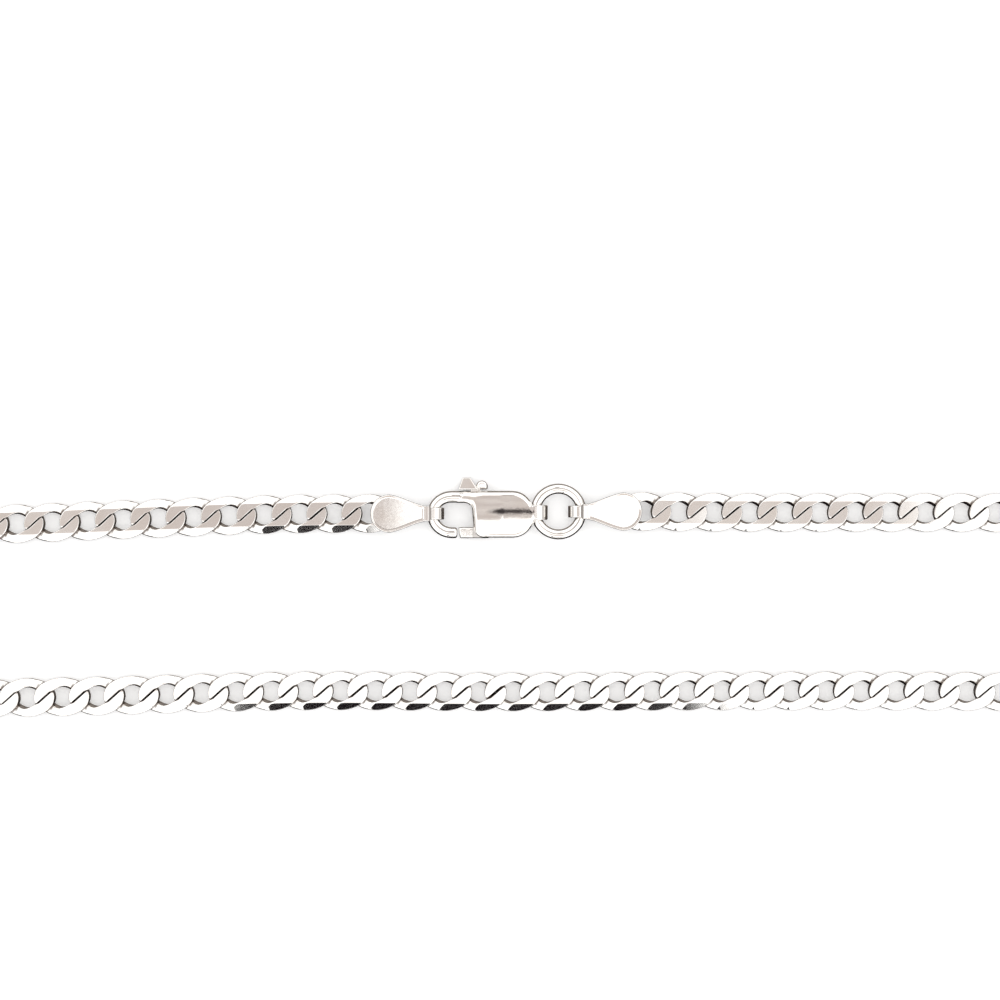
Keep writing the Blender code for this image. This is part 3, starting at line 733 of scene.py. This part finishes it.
def fineLink(pitch):
    # One twisted and filed link: a closed sweep round its plan, each section cut by its planes
    form = linkForm
    a = (form["length"] - form["wire"]) / 2
    b = (form["width"] - form["sideWire"]) / 2
    planes, bevel = linkPlanes()
    bevelRange = np.radians(form["bevelRange"])
    points = []
    paintedShade = []
    for station in range(form["stations"]):
        turn = 2 * math.pi * (station + 0.5) / form["stations"]
        turn -= form["crowding"] * math.sin(2 * turn)
        centre = np.array((a * math.cos(turn), b * math.sin(turn), -form["twist"] * math.sin(2 * turn)))
        path = np.array((-a * math.sin(turn), b * math.cos(turn), -2 * form["twist"] * math.cos(2 * turn)))
        path /= np.linalg.norm(path)
        outward = np.array((path[1], -path[0], 0.0))
        outward /= np.linalg.norm(outward)
        raised = np.cross(outward, path)
        raised *= np.sign(raised[2])

        tip = abs(math.cos(turn)) ** 3         # 1 at the tips, 0 at the sides
        half = (form["sideWire"] + (form["wire"] - form["sideWire"]) * tip) / 2 - form["edge"]
        tall = (form["tall"] + (form["tipTall"] - form["tall"]) * tip ** 2) / 2 - form["edge"]
        roundness = form["roundness"] + (form["pressed"] - form["roundness"]) * tip
        end = 1 if math.cos(turn) > 0 else -1
        past = math.degrees(math.atan2(end * math.sin(turn), end * math.cos(turn)))
        limits = []
        for normal, reach in planes:
            limits += planeLimit(normal, reach, centre, outward, raised)
        limits += noseLimits(half, tip)
        for upward in (1, -1):
            if form["seamFrom"] < past * upward < form["seamUntil"]:
                seam = seamPlane(end, upward, past * upward, pitch)
                limits += planeLimit(*seam, centre, outward, raised)
        start, until, over = form["spreadOver"]
        spread = float(smoothStep(abs(past) / start) * smoothStep((until - abs(past)) / over))
        wider = form["spread"] * spread
        polygon = clippedSection((half, half + wider), tall, (roundness, form["inside"]), limits)

        filed = np.array((0.0, math.copysign(bevel[1], centre[1]), bevel[2]))
        upper = np.clip(math.atan2(filed @ raised, filed @ outward), *bevelRange)
        filed[2] *= -1
        lower = -np.clip(-math.atan2(filed @ raised, filed @ outward), *bevelRange)
        for angle in linkColumns(lower, upper):
            direction = np.array((math.cos(angle), math.sin(angle)))
            corner = polygon[np.argmax(polygon @ direction)] + form["edge"] * direction
            points.append(centre + outward * corner[0] + raised * corner[1])
            # painted shade on the inside of the wire, where the neighbours stand close
            paintedShade.append(form["innerShade"] * float(smoothStep((-math.cos(angle) - 0.6) / 0.4)))
    rows = np.arange(len(points)).reshape(form["stations"], -1)
    following = np.roll(rows, -1, axis=0)
    faces = np.stack([rows, following, np.roll(following, -1, axis=1), np.roll(rows, -1, axis=1)], axis=2)
    faces = faces.reshape(-1, 4)
    points = np.array(points)
    normals = cornerNormals(points, faces)
    for normal, reach in planes:       # filed faces shade truly flat
        normals[np.abs(points @ normal - reach) < 0.0005] = normal
    return points, faces, normals, np.array(paintedShade)


def contactShade(points, faces, pitch):
    # Painted shade where a link comes close to its neighbours
    near = np.zeros(len(points))
    far = linkForm["contact"]
    for side in (-pitch, pitch):
        beside = BVHTree.FromPolygons((points + np.array((side, 0.0, 0.0))).tolist(), faces.tolist())
        gaps = np.array([beside.find_nearest(Vector(point))[3] for point in points])
        near = np.maximum(near, smoothStep((far - gaps) / (far - linkForm["touch"])))
    return near


def dressChain():
    line, marks = smoothRoute()
    count = chainRoute["links"]
    slack = chainRoute["slack"]
    pitch = (marks[-1] + slack) / (count - 1)
    points, faces, normals, paintedShade = fineLink(pitch)
    # the painted contact shade is kept off the filed flats
    notFlat = smoothStep((0.99 - np.abs(normals[:, 2])) / 0.05)        # the filed flats stay bright
    paintedShade = np.maximum(paintedShade, contactShade(points, faces, pitch) * notFlat)
    chance = random.Random(linkForm["seed"])
    first = chainRoute["firstRun"]
    for node, run in (("chain_right", range(first)), ("chain_left", range(first, count))):
        allPoints, allFaces, allNormals, allGrain = [], [], [], []
        for number in run:
            distance = number * pitch - (slack if number >= first else 0.0)
            distance += np.interp(distance, *np.array(chainRoute["settle"]).T)
            place, turn = linkPlace(line, marks, distance)
            lies = (chance.gauss(0, linkForm["tiltAlong"]), chance.gauss(0, linkForm["tiltAcross"]))
            along, across = map(math.radians, linkForm["askew"].get(number, lies))
            turn = np.array(turn @ (Matrix.Rotation(along, 3, "X") @ Matrix.Rotation(across, 3, "Y")))
            allFaces.append(faces + len(allPoints) * len(points))
            laid = points @ turn.T + np.array(place)
            laid[:, 2] += max(0.0, -laid[:, 2].min())      # nothing sinks into the floor
            allPoints.append(laid)
            allNormals.append(normals @ turn.T)
            allGrain.append(points + np.array((number * 7.3, number * 1.7, 0.0)))
        shape = [np.concatenate(parts) for parts in (allPoints, allFaces, allNormals)]
        finishPiece(node + "_links", shape, np.tile(paintedShade, len(allPoints)), "chain", "necklace",
                    node, np.concatenate(allGrain))


dressChain()


# Clasp body: pillow-shaped casting that runs into the hook, with the lever's slot and the eye

claspForm = {
    "left": -7.65, "middle": 8.8, "axis": 1.2,
    "width": 4.7, "height": 2.4,
    "crown": 0.040, "ridge": -0.25,            # the faces fall both ways from a low ridge
    "taper": 0.42, "taperLength": 4.2,         # and get thinner towards the hook
    "holeSide": -3.13, "lean": 0.10,           # left side, beside the hook's hole
    "rounding": 0.46, "lowRounding": 0.32,     # of its rims at the upper and the lower side
    "cornerRounding": 1.0, "fillet": 0.85,
    "shoulders": ((2.47, 1.55, 0.841, 0.542), (2.62, -1.33, 0.832, -0.555)),   # point and facing of each
    "shoulderRounding": 0.5,
    "nose": 3.30, "noseRounding": 0.3,
    "foot": 0.06,                  # how much short of its full width the lower side stays
    "hookWire": 1.08, "rootWire": 1.16, "hookDepth": 2.45, "hookEnd": -4.65,
    "rootStart": -4.25, "hookSteps": 28,
    "blend": 0.10,                 # between body, hook and eye
    "eyeX": 3.15, "eyeWidth": 1.46, "eyeShift": 0.2,
    "slotHalf": 0.55, "slotRight": -0.25, "rootRight": -3.45, "slotRoof": 1.4, "slotRounding": 0.08,
    "pin": (-1.63, 7.45), "pinWire": 0.7, "pinHalf": 0.85,
    "cell": 0.075,
}
ringForm = {"centre": (5.425, 9.1), "radius": 2.275, "wire": 1.0, "channel": 0.12, "cell": 0.085}


def fromRingWire(x, y, level):
    # Distance to the middle of the jump ring's wire
    ringX, ringY = ringForm["centre"]
    return np.hypot(np.hypot(x - ringX, y - ringY) - ringForm["radius"], level)


def hookLine():
    form = claspForm
    across = (form["width"] - form["hookWire"]) / 2
    rootAcross = (form["width"] - form["rootWire"]) / 2
    centreX = form["left"] + form["hookDepth"]
    reach = form["hookDepth"] - form["hookWire"] / 2
    line = [(form["rootStart"] + 0.5, form["middle"] + rootAcross)]
    radii = [form["rootWire"] / 2]
    for step in range(form["hookSteps"] + 1):
        share = step / form["hookSteps"]
        turn = math.pi * (0.5 + share)
        wide = rootAcross + (across - rootAcross) * share
        line.append((centreX + reach * math.cos(turn), form["middle"] + wide * math.sin(turn)))
        thin = min(1, 2.5 * share)
        radii.append((form["rootWire"] * (1 - thin) + form["hookWire"] * thin) / 2)
    line.append((form["hookEnd"] + 0.3, form["middle"] - across))
    radii.append(form["hookWire"] / 2)
    return line, radii


def claspOutline(x, over):
    # Seen from above: the body, with the hook's root run into it by a fillet at the hole
    form = claspForm
    half = form["width"] / 2
    body = form["holeSide"] - form["lean"] * over - x
    for pointX, pointY, alongX, alongY in form["shoulders"]:
        body = softMax(body, (x - pointX) * alongX + (over - pointY) * alongY, form["shoulderRounding"])
    body = softMax(body, x - form["nose"], form["noseRounding"])
    root = np.maximum(half - form["rootWire"] - over, np.maximum(form["rootStart"] - 0.4 - x, x))
    outline = softMin(body, root, form["fillet"])
    outline = softMax(outline, over - half, form["cornerRounding"])
    return softMax(outline, form["foot"] - half - over, form["cornerRounding"])


def claspField(x, y, z):
    form = claspForm
    level = z - form["axis"]
    half = form["width"] / 2
    over = y - form["middle"]
    crown = form["height"] / 2 - form["crown"] * (over - form["ridge"]) ** 2
    crown = crown - form["taper"] * np.clip(-x / form["taperLength"], 0.0, 1.2) ** 1.5
    crown = np.maximum(crown, form["rootWire"] / 2)
    rounding = form["rounding"] - (form["rounding"] - form["lowRounding"]) * smoothStep(-over / half)
    body = prism(claspOutline(x, over), level, crown, rounding)
    hook = wireDistance(x, y, level, *hookLine())
    hook = softMax(hook, np.where(over < 0, x - form["hookEnd"], -9.0), 0.30)
    solid = softMin(body, hook, form["blend"])

    eye = np.hypot(x - form["eyeX"], level) - form["height"] / 2
    eye = softMax(eye, np.abs(over - form["eyeShift"]) - form["eyeWidth"] / 2, 0.12)
    solid = softMin(solid, eye, form["blend"])

    soft = form["slotRounding"]
    slot = softMax(np.abs(level) - form["slotHalf"], x - form["slotRight"], soft)
    slot = softMax(slot, -softMin(x - form["rootRight"], half - form["slotRoof"] - over, soft), soft)
    slot = softMax(slot, form["rootStart"] - x, 0.02)
    solid = softMax(solid, -slot, soft)

    pinX, pinY = form["pin"]
    pin = np.maximum(np.hypot(x - pinX, y - pinY) - form["pinWire"] / 2, np.abs(level) - form["pinHalf"])
    channel = fromRingWire(x, y, level) - ringForm["wire"] / 2 - ringForm["channel"]
    return softMax(np.minimum(solid, pin), -channel, soft)


def dressClasp():
    form = claspForm
    half = form["width"] / 2
    low = (form["left"], form["middle"] - half, 0.0)
    high = (form["eyeX"] + form["height"] / 2, form["middle"] + half, form["height"])
    points, faces, normals = meshFromField(claspField, low, high, form["cell"])
    x, y, level = (points - np.array((0.0, 0.0, form["axis"]))).T
    # painted shade inside the lever's slot and round the jump ring where it passes through the eye
    inSlot = (np.abs(level) < form["slotHalf"] + 0.03) & (x > form["holeSide"] - 0.2)
    inSlot &= x < form["slotRight"] + 0.05
    paintedShade = np.maximum(inSlot * 0.9, np.clip(1.3 - fromRingWire(x, y, level), 0.0, 0.6))
    finishPiece("clasp_body_cast", (points, faces, normals), paintedShade, "clasp", "necklace", "clasp_body")


# Lever: gate across the mouth, boss round the pin, stem and thumb nub

leverForm = {
    "half": 0.45, "gateHalf": 0.50,            # half thicknesses, in the slot and at the mouth
    "reach": 2.9, "gateLow": -1.0, "gateWidth": 1.08,
    "boss": 0.85, "hole": 0.45,
    "stemLeft": -1.72, "stemWidth": 0.95, "stemFoot": -1.4,
    "nubFoot": 3.85, "nubWidth": 1.9, "nubTop": 0.80, "nubLean": 0.4,
    "nubHeight": 1.2, "nubHalf": 0.8, "nubSlant": 0.16,
    "lobe": 0.58, "lobeRise": 0.30,
    "gateCorner": 0.16, "nubCorner": 0.05,     # roundings seen from above
    "rim": 0.08, "gateRim": 0.26, "nubRim": 0.12, "lobeRim": 0.30,     # and of their upper and lower rims
    "blend": 0.10,
    "cell": 0.06,
}


def leverField(x, y, z):
    form = leverForm
    pinX, pinY = claspForm["pin"]
    x = x - pinX
    y = y - pinY
    level = z - claspForm["axis"]
    low = form["gateLow"]
    high = low + form["gateWidth"]
    left = -form["reach"]
    soft = form["gateCorner"]
    gate = outlineDistance(x, y, [(left - 0.5, high - soft), (0.0, high - soft), (0.0, low + soft),
                                  (left - 0.5, low + soft)]) - soft
    gate = softMax(gate, np.hypot(x, y) - form["reach"], form["blend"])
    thick = form["half"] + (form["gateHalf"] - form["half"]) * smoothStep((-x - 1.7) / 0.5)
    bar = prism(gate, level * form["half"] / thick, form["half"], form["gateRim"])
    boss = prism(np.hypot(x, y) - form["boss"], level, form["half"], form["rim"])
    foot = form["nubFoot"]
    stem = outlineDistance(x, y, [(form["stemFoot"], high - 0.3), (0.5, 0.2),
                                  (form["stemLeft"] + form["stemWidth"], foot + 0.2),
                                  (form["stemLeft"], foot + 0.2)])
    stem = prism(stem, level, form["half"], form["rim"])
    solid = softMin(softMin(bar, boss, form["blend"]), stem, form["blend"])

    top = foot + form["nubHeight"]
    soft = form["nubCorner"]
    nub = outlineDistance(x, y, [(left + soft, foot + soft), (left + form["nubWidth"] - soft, foot + soft),
                                 (left + form["nubLean"] + form["nubTop"] - soft, top - soft),
                                 (left + form["nubLean"] + soft, top - soft)]) - soft
    slant = form["nubHalf"] - form["nubSlant"] * np.clip((y - foot) / form["nubHeight"], 0.0, 1.0)
    nub = prism(nub, level * form["nubHalf"] / slant, form["nubHalf"], form["nubRim"])
    lobeX = left + form["nubWidth"] + form["lobe"] * 0.75
    lobe = np.hypot(x - lobeX, y - foot - form["lobeRise"]) - form["lobe"]
    lobe = softMax(lobe, foot - y, soft)
    lobe = prism(lobe, level, form["half"] * 0.8 + 0.08 * (y - foot), form["lobeRim"])
    solid = softMin(softMin(solid, nub, 0.06), lobe, 0.05)
    return np.maximum(solid, form["hole"] - np.hypot(x, y))


def dressLever():
    pinX, pinY = claspForm["pin"]
    form = leverForm
    top = pinY + form["nubFoot"] + form["nubHeight"]
    low = (pinX - form["reach"], pinY + form["gateLow"], claspForm["axis"] - form["nubHalf"])
    high = (pinX + form["boss"], top, claspForm["axis"] + form["nubHalf"])
    points, faces, normals = meshFromField(leverField, low, high, form["cell"])
    # painted shade where the lever sits inside the clasp body
    hidden = (points[:, 0] > claspForm["holeSide"]) & (points[:, 1] < claspForm["middle"] + 2.3)
    finishPiece("clasp_lever_cast", (points, faces, normals), hidden * 0.7, "lever", "lever", "clasp_lever")


# Jump ring, drawn as a field too, so that its wire shades truly round

def ringField(x, y, z):
    return fromRingWire(x, y, z - claspForm["axis"]) - ringForm["wire"] / 2


def dressRing():
    half = ringForm["wire"] / 2
    outer = ringForm["radius"] + half
    centre = np.array((*ringForm["centre"], claspForm["axis"]))
    reach = np.array((outer, outer, half))
    points, faces, normals = meshFromField(ringField, centre - reach, centre + reach, ringForm["cell"])
    # painted shade on the inner half of the ring's wire
    inward = ringForm["radius"] - np.hypot(*(points - centre)[:, :2].T)
    paintedShade = np.clip(inward / half, 0.0, 1.0) * 0.5
    finishPiece("jump_ring_wire", (points, faces, normals), paintedShade, "ring", "necklace", "jump_ring")


# End tags: dished teardrop plates whose straps fold round the hook and the ring

tagForm = {
    "length": 7.33, "width": 3.8, "neck": 1.5, "sheet": 0.32, "gap": 1.6,
    "strapWidth": 1.17, "strapLength": 1.7, "crease": 1.38, "groove": 0.11,
    "rim": 0.30, "dish": 0.06, "rise": 5.62, "plateRounding": 0.13, "strapRounding": 0.09,
    # strength of the painted shade along the plate's edge
    "edgeShade": 0.90,               # how dark the sheet's edge is
    "sag": 0.02,
    "cell": 0.06,
    # side, fold, across, direction of the plate, its lean to -Y in degrees, step at its neck
    "tags": (("left", -5.955, 8.9, -1, 0.0, 0.05), ("right", 6.38, 9.1, 1, 0.3, 0.0)),
}


def tagField(x, y, z, neckStep):
    # In the tag's own frame: fold at x = 0, plate towards +x, axis of the fold at z = 0
    form = tagForm
    top = form["gap"] / 2 + form["sheet"]
    middle = form["gap"] / 2 + form["sheet"] / 2
    end = form["length"] - form["width"] / 2
    share = (x - form["strapLength"]) / (end - form["strapLength"])
    flare = form["neck"] / 2 + (form["width"] - form["neck"]) / 2 * (
        0.45 * np.clip(share, 0.0, 1.0) + 0.55 * smoothStep(share))
    slope = 0.93 + 0.07 * smoothStep((x - end + 1.5) / 1.5)   # its sides lean, so distances are less
    taper = (np.abs(y) - flare) * slope
    disc = np.hypot(x - end, y) - form["width"] / 2
    flat = softMax(np.where(x < end, taper, disc), form["crease"] - x, 0.05)
    dish = form["dish"] * smoothStep((-flat - 0.03) / form["rim"]) * smoothStep((x - 1.9) / 0.28)
    plate = prism(flat, z - middle + dish / 2, form["sheet"] / 2 - dish / 4, form["plateRounding"])

    bend = top - form["sheet"] / 2             # middle of the sheet in the fold
    fold = np.abs(np.hypot(np.minimum(x - top, 0.0), z) - bend) - form["sheet"] / 2
    straight = np.abs(np.abs(z) - bend) - form["sheet"] / 2
    strap = np.where(x < top, fold, straight)
    strap = np.maximum(strap, x - form["rise"] - form["sheet"] / 2)
    strap = np.maximum(strap, np.where(z > 0, x - form["crease"], -1.0))
    edge = np.abs(y) - form["strapWidth"] / 2
    strap = roundedCorner(edge, strap, form["strapRounding"])

    riser = np.maximum(np.abs(x - form["rise"]) - form["sheet"] / 2, np.abs(z) - middle)
    riser = np.maximum(riser, edge)
    groove = form["groove"] - np.hypot(x - form["crease"], z - top - 0.03)
    solid = softMax(softMin(plate, strap, 0.05), groove, 0.03)
    ramp = neckStep * smoothStep((2.0 - x) / 0.5) * (x > form["crease"])
    return softMin(softMax(solid, z - top + ramp, 0.01), riser, 0.08)


def dressTags():
    form = tagForm
    top = form["gap"] / 2 + form["sheet"]
    half = form["width"] / 2
    for side, fold, across, direction, lean, neckStep in form["tags"]:
        points, faces, normals = meshFromField(
            lambda x, y, z: tagField(x, y, z, neckStep),
            (0.0, -half, -top), (form["length"], half, top), form["cell"])
        x, y, z = points.T
        # painted shade in the crease groove, and darker lower down, under the plate
        inCrease = (np.abs(x - form["crease"]) < 0.12) & (z > top - 0.2)
        dark = np.maximum(np.clip(0.4 - z, 0.0, 0.8), inCrease)
        # painted shade along the sheet's steep edges, which draws a dark line round the plate
        edgeShade = smoothStep((0.93 - np.abs(normals[:, 2])) / 0.30) * (x > 1.6)
        dark = np.maximum(dark, form["edgeShade"] * edgeShade)
        # each plate was bent by hand, so it leans a little
        share = smoothStep((x - 1.5) / 3.0)
        tilt = np.tan(math.radians(lean) * share * direction) * direction
        points[:, 2] += tilt * y - form["sag"] * share
        normals[:, 1] -= tilt * normals[:, 2]
        normals /= np.linalg.norm(normals, axis=1, keepdims=True)
        turn = np.array((direction, direction, 1.0))
        place = np.array((fold, across, claspForm["axis"]))
        finishPiece("tag_" + side + "_plate", (points * turn + place, faces, normals * turn), dark,
                    "tag", "necklace", "tag_" + side)


dressClasp()
dressLever()
dressRing()
dressTags()
